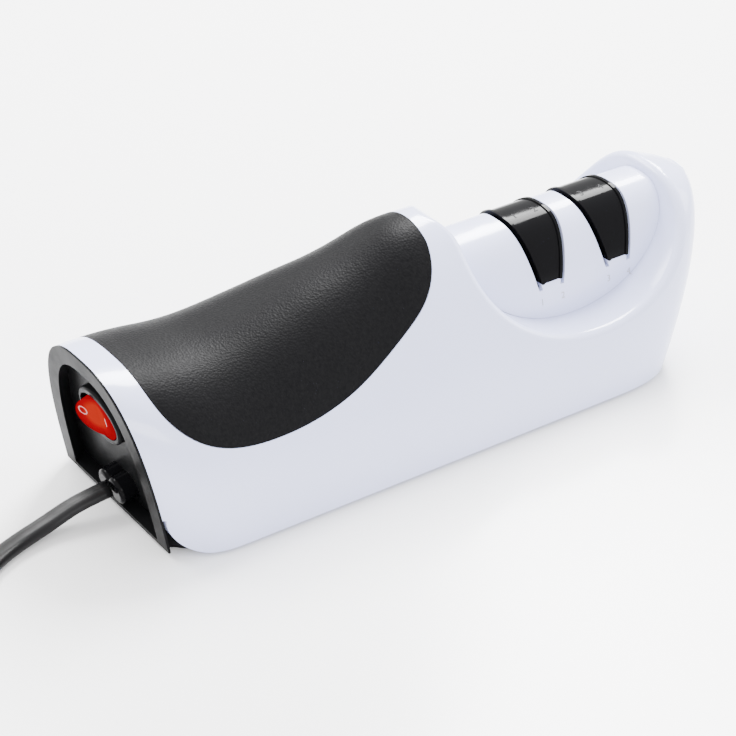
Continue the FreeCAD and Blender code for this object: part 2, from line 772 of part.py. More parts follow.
def cooling_fan():
    start = size("motor_start") + size("motor_length") + 3
    hub = rod("fan_hub", "coupling_radius - 1", "fan_thick", "motor_start + motor_length + 3")
    disc = rod("fan_disc", "fan_radius", "1.2", "motor_start + motor_length + 3")
    blades = [around("fan_blade_%d" % turn, "fan_thick", 1.2, size("fan_radius") - 5.5,
                     start, 5.0, 360.0 * turn / 8) for turn in range(8)]
    wheel = joined("Part::MultiFuse", "fan_wheel", [hub, disc] + blades)
    bore = rod("fan_bore", "motor_shaft_radius", "fan_thick + 2",
               "motor_start + motor_length + 2")
    named(cut("fan", wheel, bore), "cooling_fan")


def spindle():
    """Grinding spindle with its two wheels, spacers and clips."""
    turned("shaft_coupling", [("0", "motor_shaft_radius"), ("0", "coupling_radius"),
                              ("coupling_length", "coupling_radius"),
                              ("coupling_length", "spindle_radius"),
                              ("spindle_start - coupling_start", "spindle_radius"),
                              ("spindle_start - coupling_start", "motor_shaft_radius")],
           "coupling_start")
    named(rod("spindle", "spindle_radius", "spindle_end - spindle_start", "spindle_start"),
          "grinding_spindle")
    for label, place in (("coarse_wheel", "coarse_place"), ("fine_wheel", "fine_place")):
        turned(label, [("0 - wheel_half_core", "spindle_radius"),
                       ("0 - wheel_half_core", "wheel_core_radius"),
                       ("0 - wheel_half_tip", "wheel_radius"), ("wheel_half_tip", "wheel_radius"),
                       ("wheel_half_core", "wheel_core_radius"),
                       ("wheel_half_core", "spindle_radius")], place)
    collar("near_spacer", "near_post + post_thick / 2 + 1.3",
           "coarse_place - wheel_half_core - near_post - post_thick / 2 - 1.3", "spacer_radius")
    collar("middle_spacer", "coarse_place + wheel_half_core",
           "fine_place - coarse_place - 2 * wheel_half_core", "spacer_radius")
    collar("shaft_clip", "far_post + post_thick / 2 + 1.2", "1.0", "spacer_radius")


def collar(label, place, length, radius):
    """Ring that sits on the grinding spindle."""
    ring = rod(label + "_ring", radius, length, place)
    bore = rod(label + "_bore", "spindle_radius", length, place)
    return named(cut(label + "_cut", ring, bore), label)


def wheel_frame():
    """Carrier of the spindle: a plate with two posts, and a bush in each post."""
    floor = "base_lift + base_thick"
    plate = block("frame_plate", "far_post - near_post + post_thick", "frame_width", "frame_thick",
                  "near_post - post_thick / 2", "0 - frame_width / 2", floor)
    pieces, bores = [plate], []
    for side in ("near", "far"):
        post_place = side + "_post - post_thick / 2"
        pieces.append(block(side + "_upright", "post_thick", "post_width",
                            "axis_level - base_lift - base_thick", post_place,
                            "0 - post_width / 2", floor))
        pieces.append(rod(side + "_eye", "post_width / 2", "post_thick", post_place))
        bores.append(rod(side + "_seat", "bush_radius", "post_thick", post_place))
        turned(side + "_bush", [("0 - post_thick / 2 - 1", "spindle_radius + run_gap"),
                                ("0 - post_thick / 2 - 1", "bush_radius"),
                                ("post_thick / 2 + 1", "bush_radius"),
                                ("post_thick / 2 + 1", "spindle_radius + run_gap")],
               side + "_post")
    frame = joined("Part::MultiFuse", "frame_block", pieces)
    named(cut("frame_cut", frame, joined("Part::Compound", "frame_bores", bores)), "wheel_frame")


def motor_bracket():
    """Two saddles between the base and the motor can."""
    saddles = []
    for side, place in (("near", "motor_start + 6"), ("far", "motor_start + motor_length - 12")):
        saddles.append(block("saddle_" + side, "6", "saddle_width",
                             "axis_level - base_lift - base_thick - 6", place,
                             "0 - saddle_width / 2", "base_lift + base_thick"))
    bed = block("saddle_bed", "motor_length - 12", "saddle_width", "2", "motor_start + 6",
                "0 - saddle_width / 2", "base_lift + base_thick")
    solid = joined("Part::MultiFuse", "saddle_block", saddles + [bed])
    room = rod("saddle_room", "motor_radius", "motor_length + 2", "motor_start - 1")
    named(cut("saddle_cut", solid, room), "motor_bracket")


def circuit():
    """Small board beside the motor with its capacitor and rectifier."""
    level = "base_lift + base_thick + board_rise"
    stands = [rod("board_stand_%d" % number, "2", "board_rise", place, across,
                  "base_lift + base_thick", "Z")
              for number, (place, across) in enumerate((("board_start + 3", "board_across + 8"),
                                                        ("board_start + 37", "board_across + 8")))]
    named(joined("Part::Compound", "board_stands", stands), "board_pillars")
    named(block("board", "40", "16", "1.6", "board_start", "board_across", level),
          "circuit_board")
    named(rod("capacitor_can", "4.5", "13", "board_start + 14", "board_across + 8",
              level + " + 1.6", "Z"), "board_capacitor")
    named(block("rectifier_block", "8", "8", "6", "board_start + 23", "board_across + 4",
                level + " + 1.6"), "board_rectifier")


def feet_and_screws():
    feet, screws = [], []
    for number, (place, across) in enumerate(FEET):
        feet.append(rod("foot_%d" % number, "foot_radius", "foot_height + foot_seat",
                        str(place), str(across), "0 - foot_height", "Z"))
    named(joined("Part::Compound", "feet", feet), "rubber_feet")
    for number, (place, across) in enumerate(BOSSES):
        head = rod("screw_head_%d" % number, "screw_head_radius", "1.4", str(place), str(across),
                   "base_lift + 0.2", "Z")
        stem = rod("screw_stem_%d" % number, "screw_radius", "12", str(place), str(across),
                   "base_lift + 1.6", "Z")
        screws.append(joined("Part::MultiFuse", "screw_%d" % number, [head, stem]))
    named(joined("Part::Compound", "screws", screws), "base_screws")


# Leads and the supply cord

def unit(vector):
    return vector * (1.0 / vector.Length)


def arc_from(start, heading, stop):
    """Arc from a point along a heading to another point."""
    chord = stop - start
    along = unit(chord)
    side = heading - along * heading.dot(along)
    if side.Length < 1e-6:
        return Part.LineSegment(start, stop)
    half_turn = math.acos(max(-1.0, min(1.0, heading.dot(along))))
    rise = chord.Length / 2 * math.tan(half_turn / 2)
    return Part.Arc(start, start + chord * 0.5 + unit(side) * rise, stop)


def rounded_path(points, report=None):
    """Straight runs joined by tangent arcs, each as large as its two runs allow."""
    edges, start, radii = [], points[0], []
    for before, corner, after in zip(points, points[1:], points[2:]):
        arrive, leave = unit(corner - before), unit(after - corner)
        reach = 0.45 * min((corner - before).Length, (after - corner).Length)
        half_turn = math.acos(max(-1.0, min(1.0, arrive.dot(leave)))) / 2
        radii.append(reach / math.tan(half_turn))
        bend_start, bend_stop = corner - arrive * reach, corner + leave * reach
        edges.append(Part.LineSegment(start, bend_start).toShape())
        edges.append(arc_from(bend_start, arrive, bend_stop).toShape())
        start = bend_stop
    edges.append(Part.LineSegment(start, points[-1]).toShape())
    path = Part.Wire(edges)
    if report:
        print("%s length %.1f radii %s" % (report, path.Length,
                                           " ".join("%.0f" % radius for radius in radii)))
    return path


def tube(path, heading, radius):
    """Round tube swept along a path."""
    start = path.OrderedVertexes[0].Point
    ring = Part.Wire([Part.makeCircle(radius, start, heading)])
    return path.makePipeShell([ring], True, False)


def coil_spot(turn):
    """Place on the coil's centre line after so many turns."""
    middle = size("coil_turns") / 2
    radius = size("coil_radius") - size("coil_pitch") * (middle - abs(turn - middle))
    climb = max(0.0, min(1.0, (turn - middle + 0.25) * 2))
    level = size("coil_level") + size("coil_layer") * (3 * climb ** 2 - 2 * climb ** 3)
    angle = -math.pi / 2 - 2 * math.pi * turn
    return Vector(size("coil_place") + radius * math.cos(angle),
                  size("coil_across") + radius * math.sin(angle), level)


def coil_heading(turn):
    """Direction of the centre line, level and square at the coil's two ends."""
    if turn in (0.0, size("coil_turns")):
        angle = -math.pi / 2 - 2 * math.pi * turn
        return Vector(math.sin(angle), -math.cos(angle), 0)
    return unit(coil_spot(turn + 0.02) - coil_spot(turn - 0.02))


def biarc(start, heading, stop, out):
    """Two tangent arcs from a point and heading to another point and heading."""
    span, both, spread = stop - start, heading + out, 2 * (1 - heading.dot(out))
    ahead = span.dot(both)
    reach = (-ahead + math.sqrt(ahead ** 2 + spread * span.dot(span))) / spread
    joint = (start + stop + (heading - out) * reach) * 0.5
    first = arc_from(start, heading, joint)
    second = arc_from(stop, out * -1, joint)
    return [first.toShape(), second.toShape()]


def cord_coil():
    """Put-away length of the cord, in two layers of turns."""
    steps = int(round(size("coil_turns") * 4))
    turns = [size("coil_turns") * step / steps for step in range(steps + 1)]
    spots, headings = [coil_spot(t) for t in turns], [coil_heading(t) for t in turns]
    diameter = size("cord_tube")
    edges = [Part.LineSegment(spots[0] - headings[0] * diameter, spots[0]).toShape()]
    for a in range(steps):
        edges += biarc(spots[a], headings[a], spots[a + 1], headings[a + 1])
    edges.append(Part.LineSegment(spots[-1], spots[-1] + headings[-1] * diameter).toShape())
    path = Part.Wire(Part.sortEdges(edges)[0])
    solid = tube(path, headings[0], diameter / 2)
    centres = [coil_spot(size("coil_turns") * k / 1000) for k in range(1001)]
    apart = 1000 * 0.5 / size("coil_turns")
    gap = min((centres[i] - centres[j]).Length for i in range(0, 1001, 2)
              for j in range(i + int(apart), 1001, 2)) - diameter
    print("coil length %.1f least gap %.2f volume share %.4f"
          % (path.Length, gap, solid.Volume / (path.Length * math.pi * diameter ** 2 / 4)))
    return feature("cord_coil", solid, False)


def relief_face():
    """Middle of the strain relief's outer face, and the way out of it."""
    lean_out, level = size("panel_lean"), size("exit_level")
    outward = unit(Vector(-1, 0, lean_out))
    face = Vector(size("panel_place") + lean_out * level - size("middle_place"), 0,
                  level + size("foot_height"))
    return face + outward * size("relief_proud"), outward


def cord_lead():
    """Cord from the strain relief down to the floor and to the coil."""
    face, outward = relief_face()
    low = size("cord_tube") / 2 + 0.05
    coil_start = coil_spot(0.0) + Vector(size("cord_tube"), 0, 0)
    points = [face, face + outward * 8, Vector(-137.8, -0.6, 4.9), Vector(-146.5, -1.6, low + 0.1),
              Vector(-159, -5.4, low), Vector(-172, -12, low), Vector(-189, -24, low),
              Vector(-205, -33.6, low + 0.3), coil_start + Vector(14, 0, 0), coil_start]
    path = rounded_path(points, "cord lead")
    solid = tube(path, outward, size("cord_tube") / 2)
    print("cord lead volume share %.4f"
          % (solid.Volume / (path.Length * math.pi * size("cord_tube") ** 2 / 4)))
    return feature("cord_lead", solid, False)


def plug_back():
    """Where the cord enters the plug, which lies on the coil."""
    coil_top = size("coil_level") + size("coil_layer") + size("cord_wide") / 2
    return Vector(-239.4, 28.9, coil_top + 0.3 + size("plug_thick") / 2)


def cord_tail():
    """Cord from the end of the coil, climbing round it to the plug."""
    start = coil_spot(size("coil_turns")) - Vector(size("cord_tube"), 0, 0)
    back = plug_back()
    points = [start, start - Vector(14, 0, 0), Vector(-275, -30.7, 14.5),
              Vector(-284, -15.1, 19.5), Vector(-283.3, 3.9, 21.8), Vector(-273.2, 20, 22.8),
              back - Vector(17, 0, 0), back]
    path = rounded_path(points, "cord tail")
    return feature("cord_tail", tube(path, Vector(-1, 0, 0), size("cord_tube") / 2), False)


def cord_tie():
    """Strap round the coil."""
    thick, half = size("tie_thick"), size("cord_wide") / 2
    radii = [coil_spot(turn).x - size("coil_place") for turn in (0.75, 1.75, 2.75)]
    slack = size("cord_tube") / 2 + 0.4
    low, high = min(radii) - slack, max(radii) + slack
    top = size("coil_level") + size("coil_layer") + half + 0.3
    width, side = size("tie_width"), size("coil_across") - size("tie_width") / 2
    outer = Part.makeBox(high - low + 2 * thick, width, top + thick,
                         Vector(size("coil_place") + low - thick, side, 0))
    outer = outer.makeFillet(2.0, [edge for edge in outer.Edges
                                   if abs(edge.tangentAt(edge.FirstParameter).y) > 0.9
                                   and edge.CenterOfMass.z > top])
    inner = Part.makeBox(high - low, width, top - 0.4,
                         Vector(size("coil_place") + low, side, 0.4))
    return feature("cord_tie", outer.cut(inner), False)


def plug():
    """Two-blade plug with its own tapered relief."""
    back, wide = plug_back(), size("plug_wide")
    taper_long = 12.0
    low = back.z - size("plug_thick") / 2
    body = Part.makeBox(size("plug_long"), wide, size("plug_thick"),
                        Vector(back.x + taper_long, back.y - wide / 2, low))
    body = body.makeFillet(3.0, body.Edges)
    rings = [Part.Wire([Part.makeCircle(radius, Vector(back.x + along, back.y, back.z),
                                        Vector(1, 0, 0))])
             for along, radius in ((0.0, size("cord_wide") / 2 + 0.6), (taper_long + 4, 5.8))]
    sleeve = Part.makeLoft(rings, True, True)
    feature("plug_body", body.fuse(sleeve), False)
    front = back.x + taper_long + size("plug_long")
    blades = [Part.makeBox(size("blade_long"), 1.5, 6.35,
                           Vector(front, back.y + side * size("blade_gap") / 2 - 0.75,
                                  back.z - 3.175)) for side in (-1, 1)]
    feature("plug_blades", Part.makeCompound(blades), False)


def wires():
    """Inner leads: supply to switch, switch to board and board to motor."""
    radius = size("wire_radius")
    board_top = size("base_lift") + size("base_thick") + size("board_rise") + 1.6
    inlet = Vector(size("panel_place") + size("panel_thick") + 3.4, 0, size("exit_level"))
    supply, inner = [], []
    for side in (-1, 1):
        route = [inlet + Vector(0, side * 3, 0), inlet + Vector(4, side * 3, 0.5),
                 Vector(-83, side * 6.5, 17), Vector(-79, side * 6, 27), Vector(-79, side * 6, 40)]
        supply.append(tube(rounded_path(route), Vector(1, 0, 0.125), radius))
    feature("supply_leads", Part.makeCompound(supply))
    cap = size("motor_start") - size("cap_thick")
    for offset in (4, 9):
        foot = Vector(size("board_start") + 6, size("board_across") + offset, board_top + 0.05)
        level = board_top + 15
        across = 9.5 + offset / 2
        route = [foot, foot + Vector(0, 0, 7), Vector(cap + 8, foot.y - 1, board_top + 9),
                 Vector(cap - 8, across + 9, board_top + 11), Vector(cap - 7.5, across, level),
                 Vector(cap - 0.1, across, level)]
        inner.append(tube(rounded_path(route), Vector(0, 0, 1), radius))
    feature("motor_leads", Part.makeCompound(inner))


upper_shell()
grip_pad()
guide_cover()
insert("coarse_insert", "coarse_place")
insert("fine_insert", "fine_place")
end_panel()
switch_parts()
strain_relief()
base_cover()
feet_and_screws()
motor()
motor_bracket()
rotor()
cooling_fan()
spindle()
wheel_frame()
circuit()
wires()
cord_lead()
cord_coil()
cord_tail()
cord_tie()
plug()

# Check and write every piece
doc.recompute()
for piece in doc.Objects:
    if "Invalid" in piece.State or "Error" in piece.State:
        raise RuntimeError("%s is %s" % (piece.Label, piece.State))
os.makedirs("parts", exist_ok=True)
for piece in parts:
    if piece.Shape.isNull() or not piece.Shape.isValid():
        raise RuntimeError("%s has no valid shape" % piece.Label)
    piece.Shape.exportStep("parts/%s.step" % piece.Label)
    box = piece.Shape.BoundBox
    print("%-18s solids %d volume %9.0f  x %.1f..%.1f  y %.1f..%.1f  z %.1f..%.1f"
          % (piece.Label, len(piece.Shape.Solids), piece.Shape.Volume, box.XMin, box.XMax,
             box.YMin, box.YMax, box.ZMin, box.ZMax))
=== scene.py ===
# Looks of the electric knife sharpener: finishes, printed marks, supply cord, light and camera.
import math
import bmesh
import bpy
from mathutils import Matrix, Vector
from mathutils.bvhtree import BVHTree


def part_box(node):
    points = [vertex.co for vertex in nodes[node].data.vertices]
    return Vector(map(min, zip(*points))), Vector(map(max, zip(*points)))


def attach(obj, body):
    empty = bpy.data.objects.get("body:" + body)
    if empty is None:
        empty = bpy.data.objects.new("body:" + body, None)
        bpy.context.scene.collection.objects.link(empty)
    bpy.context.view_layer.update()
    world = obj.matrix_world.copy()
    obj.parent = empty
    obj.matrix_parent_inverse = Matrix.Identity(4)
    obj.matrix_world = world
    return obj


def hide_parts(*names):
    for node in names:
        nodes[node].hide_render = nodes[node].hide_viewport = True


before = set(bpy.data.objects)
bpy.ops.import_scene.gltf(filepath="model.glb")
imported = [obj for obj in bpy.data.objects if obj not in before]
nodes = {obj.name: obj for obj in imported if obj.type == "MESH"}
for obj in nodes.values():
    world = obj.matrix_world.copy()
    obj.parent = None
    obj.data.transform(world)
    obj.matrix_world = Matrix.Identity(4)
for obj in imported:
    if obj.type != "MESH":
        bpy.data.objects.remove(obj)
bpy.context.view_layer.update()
MM = 0.001

# Camera at the photograph's angle
CAMERA_SPOT = Vector((-434.3, -609.8, 487.5)) * MM
CAMERA_FORWARD = Vector((0.480, 0.696, -0.534))
CAMERA_LENS = 117.6


# Material building blocks

def surface(name, colour, roughness, **sockets):
    """Material with constants on its shader's own sockets."""
    material = bpy.data.materials.new(name)
    material.use_nodes = True
    shader = material.node_tree.nodes["Principled BSDF"]
    shader.inputs["Base Color"].default_value = (*colour, 1.0)
    shader.inputs["Roughness"].default_value = roughness
    for socket, value in sockets.items():
        shader.inputs[socket.replace("_", " ")].default_value = value
    return material


def add(material, kind, **inputs):
    """New node in a material, with its inputs set by name."""
    node = material.node_tree.nodes.new(kind)
    for socket, value in inputs.items():
        node.inputs[socket.replace("_", " ")].default_value = value
    return node


def link(material, source, target):
    material.node_tree.links.new(source, target)


def place_of(material):
    """Place on the object, in metres."""
    return add(material, "ShaderNodeTexCoord").outputs["Object"]


def noise(material, size, detail=3.0, roughness=0.5):
    """Soft blotches of a size in metres, from 0 to 1."""
    texture = add(material, "ShaderNodeTexNoise", Scale=1.0 / size, Detail=detail,
                  Roughness=roughness)
    link(material, place_of(material), texture.inputs["Vector"])
    return texture.outputs["Fac"]


def cells(material, size, smooth=0.4):
    """Rounded pebbles of a size in metres: 0 in the middle of each."""
    texture = add(material, "ShaderNodeTexVoronoi", Scale=1.0 / size)
    texture.feature = "SMOOTH_F1"
    texture.inputs["Smoothness"].default_value = smooth
    link(material, place_of(material), texture.inputs["Vector"])
    return texture.outputs["Distance"]


def steps(material, value, low, high, start=0.0, stop=1.0):
    """Value carried from one range to another."""
    node = add(material, "ShaderNodeMapRange")
    for number, limit in enumerate((start, stop, low, high), start=1):
        node.inputs[number].default_value = limit
    link(material, value, node.inputs[0])
    return node.outputs[0]


def bump(material, height, distance, strength=1.0):
    """Relief on the shader from a height of 0 to 1 and a depth in metres."""
    relief = add(material, "ShaderNodeBump", Distance=distance, Strength=strength)
    shader = material.node_tree.nodes["Principled BSDF"]
    if shader.inputs["Normal"].is_linked:
        link(material, shader.inputs["Normal"].links[0].from_socket, relief.inputs["Normal"])
    link(material, height, relief.inputs["Height"])
    link(material, relief.outputs["Normal"], shader.inputs["Normal"])


def vary_roughness(material, value, low, high):
    shader = material.node_tree.nodes["Principled BSDF"]
    link(material, steps(material, value, low, high, 0.3, 0.7), shader.inputs["Roughness"])


def vary_colour(material, value, first, second):
    """Colour that drifts between two near ones."""
    ramp = add(material, "ShaderNodeValToRGB")
    ramp.color_ramp.elements[0].color = (*first, 1.0)
    ramp.color_ramp.elements[1].color = (*second, 1.0)
    ramp.color_ramp.elements[0].position = 0.3
    ramp.color_ramp.elements[1].position = 0.7
    link(material, value, ramp.inputs["Fac"])
    shader = material.node_tree.nodes["Principled BSDF"]
    link(material, ramp.outputs["Color"], shader.inputs["Base Color"])


# Finishes

def white_shell():
    material = surface("white_shell", (0.57, 0.605, 0.85), 0.2, Coat_Weight=0.35,
                       Coat_Roughness=0.06, IOR=1.5)
    vary_colour(material, noise(material, 0.06), (0.56, 0.595, 0.84), (0.58, 0.615, 0.86))
    vary_roughness(material, noise(material, 0.012), 0.17, 0.25)
    bump(material, noise(material, 0.0035, 2.0), 0.00002, 0.4)
    return material


def grip_rubber():
    material = surface("grip_rubber", (0.004, 0.004, 0.0045), 0.42, Specular_IOR_Level=0.04)
    vary_colour(material, noise(material, 0.0012), (0.0035, 0.0035, 0.004), (0.0055, 0.0055, 0.006))
    vary_roughness(material, noise(material, 0.001), 0.42, 0.5)
    bump(material, cells(material, 0.0008), 0.00012, 0.8)
    bump(material, noise(material, 0.0004, 2.0), 0.00003, 0.4)
    return material


def gloss_black(name, level):
    material = surface(name, (0.003, 0.003, 0.0035), 0.09, Specular_IOR_Level=level)
    vary_roughness(material, noise(material, 0.005), 0.07, 0.13)
    bump(material, noise(material, 0.004, 2.0), 0.00002, 0.3)
    return material


def satin_black():
    material = surface("satin_black", (0.009, 0.009, 0.0095), 0.34, Specular_IOR_Level=0.02)
    vary_colour(material, noise(material, 0.02), (0.005, 0.005, 0.0055), (0.0075, 0.0075, 0.008))
    vary_roughness(material, noise(material, 0.006), 0.28, 0.38)
    bump(material, noise(material, 0.0006, 4.0), 0.00003, 0.6)
    return material


def foot_rubber():
    material = surface("foot_rubber", (0.03, 0.03, 0.03), 0.75)
    vary_roughness(material, noise(material, 0.003), 0.65, 0.85)
    bump(material, noise(material, 0.0008), 0.00006, 0.7)
    return material


def steel(name, colour, roughness):
    material = surface(name, colour, roughness, Metallic=1.0)
    vary_roughness(material, noise(material, 0.002), roughness * 0.8, roughness * 1.3)
    bump(material, noise(material, 0.0005), 0.00001, 0.5)
    return material


def glowing_red(spot):
    """Red rocker with a painted glow: an emission on its surface, brightest around a spot near its middle,
    stands in for the light of the lamp behind it.
    """
    material = surface("rocker_red", (0.13, 0.0002, 0.002), 0.3, Specular_IOR_Level=0.0)
    shader = material.node_tree.nodes["Principled BSDF"]
    away = add(material, "ShaderNodeVectorMath")
    away.operation = "DISTANCE"
    away.inputs[1].default_value = spot
    link(material, place_of(material), away.inputs[0])
    # Painted glow mask: 1 at the spot, fading to 0 by 8.5 mm away
    near = steps(material, away.outputs["Value"], 1.0, 0.0, 0.0042, 0.0085)
    ramp = add(material, "ShaderNodeValToRGB")
    ramp.color_ramp.elements[0].color = (0.22, 0.0, 0.004, 1.0)
    ramp.color_ramp.elements[1].color = (0.9, 0.08, 0.02, 1.0)
    middle = ramp.color_ramp.elements.new(0.55)
    middle.color = (0.5, 0.001, 0.012, 1.0)
    link(material, near, ramp.inputs["Fac"])
    # Painted glow: emission fades from orange at the spot to dark red away from it
    link(material, ramp.outputs["Color"], shader.inputs["Emission Color"])
    shader.inputs["Emission Strength"].default_value = 0.45
    bump(material, noise(material, 0.002), 0.00001, 0.4)
    return material


def moulded(name, colour, roughness):
    """Plain moulded plastic of a hidden piece."""
    material = surface(name, colour, roughness)
    vary_roughness(material, noise(material, 0.004), roughness * 0.85, roughness * 1.15)
    bump(material, noise(material, 0.0008), 0.00003, 0.6)
    return material


def abrasive(name, colour, grit):
    material = surface(name, colour, 0.85)
    vary_colour(material, noise(material, grit * 2), tuple(c * 0.75 for c in colour), colour)
    bump(material, cells(material, grit, 0.1), grit * 0.5, 1.0)
    return material


def cord_vinyl():
    material = surface("cord_vinyl", (0.006, 0.006, 0.0065), 0.26, Specular_IOR_Level=0.18)
    vary_roughness(material, noise(material, 0.004), 0.3, 0.42)
    bump(material, noise(material, 0.0012), 0.00003, 0.5)
    return material


def copper():
    material = surface("copper_wire", (0.72, 0.30, 0.14), 0.35, Metallic=1.0)
    wave = add(material, "ShaderNodeTexWave", Scale=1.0 / 0.0045, Distortion=0.3)
    link(material, place_of(material), wave.inputs["Vector"])
    bump(material, wave.outputs["Fac"], 0.0002, 0.8)
    return material


def paint(names, material):
    """Give CAD nodes a finish."""
    for name in names.split():
        for holder in nodes[name].material_slots:
            holder.material = material


SATIN, VINYL = satin_black(), cord_vinyl()
WHITE = white_shell()
paint("upper_shell guide_cover", WHITE)
paint("grip_pad", grip_rubber())
paint("coarse_insert fine_insert", gloss_black("gloss_insert", 0.045))
paint("strain_relief board_capacitor board_rectifier", gloss_black("gloss_relief", 0.05))
paint("end_panel base_cover switch_body", SATIN)
paint("rubber_feet", foot_rubber())
paint("base_screws motor_shaft grinding_spindle shaft_clip", steel("plated_steel", (0.6, 0.6, 0.61), 0.25))
paint("motor_can rotor_stack", steel("drawn_steel", (0.45, 0.45, 0.46), 0.4))
paint("switch_terminals motor_bearing commutator near_bush far_bush plug_blades",
      steel("brass", (0.75, 0.58, 0.28), 0.28))
paint("motor_magnets motor_brushes", moulded("ferrite", (0.03, 0.03, 0.032), 0.6))
paint("motor_end_cap motor_bracket cooling_fan shaft_coupling near_spacer middle_spacer "
      "wheel_frame board_pillars", moulded("inner_plastic", (0.12, 0.12, 0.125), 0.5))
paint("rotor_windings", copper())
paint("coarse_wheel", abrasive("coarse_grit", (0.11, 0.11, 0.115), 0.0006))
paint("fine_wheel", abrasive("fine_grit", (0.62, 0.6, 0.55), 0.0003))
paint("circuit_board", moulded("board_green", (0.01, 0.09, 0.035), 0.4))
paint("supply_leads motor_leads cord_tie plug_body", VINYL)

rocker_low, rocker_high = (Vector(corner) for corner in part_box("switch_rocker"))
rocker_face = Vector((rocker_low.x + 0.004, 0, (rocker_low.z + rocker_high.z) / 2))
# The rocker gets a painted glow centred near its face, not light from the lamp piece
paint("switch_rocker", glowing_red(rocker_face))
lamp = surface("lamp_glass", (0.9, 0.3, 0.1), 0.1, Transmission_Weight=0.8)
bump(lamp, noise(lamp, 0.002), 0.00001, 0.4)
paint("switch_lamp", lamp)


# Printed and moulded marks

def mesh_piece(name, verts, faces, material, body, smooth=True):
    """New mesh object that rides on a body."""
    mesh = bpy.data.meshes.new(name)
    mesh.from_pydata([tuple(v) for v in verts], [], faces)
    mesh.update()
    piece = bpy.data.objects.new(name, mesh)
    bpy.context.scene.collection.objects.link(piece)
    mesh.materials.append(material)
    for polygon in mesh.polygons:
        polygon.use_smooth = smooth
    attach(piece, body)
    return piece


def skin_of(name):
    """Search tree of a CAD node's surface."""
    mesh = nodes[name].data
    return BVHTree.FromPolygons([v.co.copy() for v in mesh.vertices],
                                [tuple(p.vertices) for p in mesh.polygons])


SEARCH_FROM = 20 * MM
PRINT_LIFT = 0.06 * MM
TYPE_PER_HEIGHT = 1.4


def printed(name, text, height, on, spot, right, up, material, body):
    """Text laid on a CAD node's surface around a spot, as a thin print."""
    curve = bpy.data.curves.new(name + "_type", "FONT")
    curve.body = text
    curve.size = height * TYPE_PER_HEIGHT
    curve.align_x, curve.align_y = "CENTER", "CENTER"
    curve.resolution_u = 3
    draft = bpy.data.objects.new(name + "_type", curve)
    bpy.context.scene.collection.objects.link(draft)
    bpy.context.view_layer.update()
    mesh = bpy.data.meshes.new_from_object(draft.evaluated_get(bpy.context.evaluated_depsgraph_get()))
    bpy.data.objects.remove(draft)
    shape = bmesh.new()
    shape.from_mesh(mesh)
    bmesh.ops.triangulate(shape, faces=shape.faces[:])
    bmesh.ops.subdivide_edges(shape, edges=shape.edges[:], cuts=2)
    outward = right.cross(up).normalized()
    tree = skin_of(on)
    for vertex in shape.verts:
        flat = spot + right * vertex.co.x + up * vertex.co.y
        hit = tree.ray_cast(flat + outward * SEARCH_FROM, -outward)[0]
        vertex.co = (hit if hit is not None else flat) + outward * PRINT_LIFT
    verts = [v.co.copy() for v in shape.verts]
    shape.verts.index_update()
    faces = [tuple(v.index for v in face.verts) for face in shape.faces]
    shape.free()
    return mesh_piece(name, verts, faces, material, body, False)


INK = moulded("grey_ink", (0.34, 0.34, 0.4), 0.5)
DARK = surface("dark_ink", (0.022, 0.022, 0.024), 0.6, Specular_IOR_Level=0.1)
bump(DARK, noise(DARK, 0.0008), 0.00003, 0.4)
PALE = moulded("pale_ink", (0.5, 0.13, 0.12), 0.45)


TOP_MARK, TOP_MARK_APART = 3.2 * MM, 4.6 * MM
FOOT_MARK, FOOT_MARK_APART = 2.6 * MM, 4.8 * MM
SWITCH_MARK, SWITCH_MARK_APART = 3.4 * MM, 5.2 * MM


def stage_numbers():
    """Stage numbers on the two inserts and beside the slots' feet."""
    top_right, top_up = Vector((1, 0, 0)), Vector((0, 0.96, 0.28)).normalized()
    low_up = Vector((0, 0.15, 0.99)).normalized()
    number = 1
    for insert in ("coarse_insert", "fine_insert"):
        low, high = (Vector(corner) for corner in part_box(insert))
        middle = (low.x + high.x) / 2
        for side in (-1, 1):
            spot = Vector((middle + side * TOP_MARK_APART, low.y + 0.0182, high.z - 0.0003))
            printed("mark_%d" % number, str(number), TOP_MARK, insert, spot, top_right, top_up,
                    DARK, "housing")
            foot = Vector((middle + side * FOOT_MARK_APART, low.y - 0.002, low.z - 0.0068))
            printed("foot_mark_%d" % number, str(number), FOOT_MARK, "guide_cover", foot,
                    top_right, low_up, INK, "housing")
            number += 1


def switch_marks():
    """Off ring and on bar on the two halves of the rocker."""
    for side, text in ((1, "O"), (-1, "I")):
        spot = rocker_face + Vector((-0.004, side * SWITCH_MARK_APART, 0))
        printed("switch_mark_" + ("off" if side > 0 else "on"), text, SWITCH_MARK, "switch_rocker",
                spot, Vector((0, -1, 0)), Vector((0.19, 0, 0.98)), PALE, "rocker")


stage_numbers()
switch_marks()


# Supply cord

CORD_WIDE = 8.0 * MM
CORD_THICK = 4.2 * MM
COIL_CENTRE = Vector((-240.0, 10.0)) * MM
COIL_RADIUS = 48.7 * MM
COIL_PITCH = 6.5 * MM
COIL_LEVEL = 4.55 * MM
COIL_LAYER = 8.3 * MM
COIL_TURNS = 3.0
LEAD_ROUTE = [(-122.5, 0, 9.52), (-130.3, 0.6, 8.3), (-137.8, 1.2, 6.4), (-146.5, 1.0, 3.6),
              (-159, -1.2, 2.2), (-172, -6.5, 2.15), (-189, -19, 2.3), (-205, -31.6, 3.2),
              (-220, -38.7, 4.55), (-240, -38.7, 4.55)]
TAIL_ROUTE = [(-240, -38.7, 12.85), (-260, -38.7, 12.85), (-275, -30.7, 14.5),
              (-284, -15.1, 19.5), (-283.3, 3.9, 21.8), (-273.2, 20, 22.8),
              (-256.4, 28.9, 23.3), (-238.4, 28.9, 23.3)]


def eased(value):
    """Share from 0 to 1 with soft ends."""
    share = max(0.0, min(1.0, value))
    return share * share * (3 - 2 * share)


